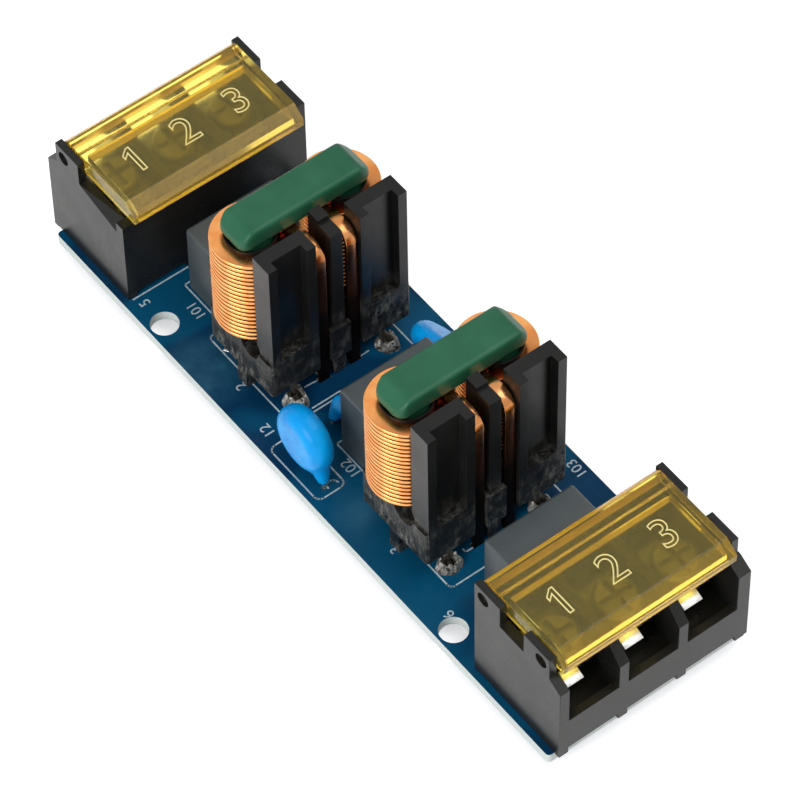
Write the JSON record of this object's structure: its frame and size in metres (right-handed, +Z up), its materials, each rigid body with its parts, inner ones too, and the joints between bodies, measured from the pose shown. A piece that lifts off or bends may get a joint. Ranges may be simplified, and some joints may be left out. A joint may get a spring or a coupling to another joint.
{
  "type": "emi line filter",
  "caption": "Line filter on a narrow blue board: hinged-cover screw terminal blocks at both ends, upright chokes with copper coils, box and disc capacitors.",
  "frame": {"origin": "midway between the outer faces of the two terminal blocks, on the board's centre line, level with the tips of the soldered leads under it", "axes": "+X along the board towards the front terminal block, +Y across the board, +Z up out of its component side"},
  "size_m": [0.109, 0.032, 0.033],
  "materials": {
    "board_blue": "glossy blue solder mask over glass laminate",
    "housing_black": "satin moulded",
    "bobbin_black": "satin moulded",
    "cover_amber": "clear amber",
    "terminal_metal": "tinned",
    "screw_metal": "zinc plated",
    "copper_wire": "enamelled copper",
    "core_green": "satin green coat over ferrite",
    "capacitor_grey": "matt moulded",
    "disc_blue": "glossy epoxy coat",
    "lead_metal": "tinned wire",
    "solder": "solder"
  },
  "bodies": {
    "filter": {"circuit_board": "board_blue", "terminal_front_housing": "housing_black", "terminal_front_contacts": "terminal_metal", "terminal_front_clamps": "terminal_metal", "terminal_front_screws": "screw_metal", "choke_front_core": "core_green", "choke_front_bobbin": "bobbin_black", "choke_front_winding_near": "copper_wire", "choke_front_winding_far": "copper_wire", "terminal_rear_housing": "housing_black", "terminal_rear_contacts": "terminal_metal", "terminal_rear_clamps": "terminal_metal", "terminal_rear_screws": "screw_metal", "choke_rear_core": "core_green", "choke_rear_bobbin": "bobbin_black", "choke_rear_winding_near": "copper_wire", "choke_rear_winding_far": "copper_wire", "x_capacitor_front": "capacitor_grey", "x_capacitor_front_leads": "lead_metal", "x_capacitor_middle": "capacitor_grey", "x_capacitor_middle_leads": "lead_metal", "x_capacitor_rear": "capacitor_grey", "x_capacitor_rear_leads": "lead_metal", "y_capacitor_near": "disc_blue", "y_capacitor_near_leads": "lead_metal", "y_capacitor_middle": "disc_blue", "y_capacitor_middle_leads": "lead_metal", "y_capacitor_far": "disc_blue", "y_capacitor_far_leads": "lead_metal", "solder_joints_lower": "solder", "solder_joints_upper": "solder"},
    "front_cover": {"terminal_front_cover": "cover_amber"},
    "rear_cover": {"terminal_rear_cover": "cover_amber"}
  },
  "joints": [
    {"name": "front_cover_hinge", "type": "hinge", "parent": "filter", "child": "front_cover", "pos_m": [0.0391, 0, 0.0204], "axis": [0, -1, 0], "range_deg": [0, 105]},
    {"name": "rear_cover_hinge", "type": "hinge", "parent": "filter", "child": "rear_cover", "pos_m": [-0.0506, 0, 0.0204], "axis": [0, -1, 0], "range_deg": [0, 105]}
  ]
}
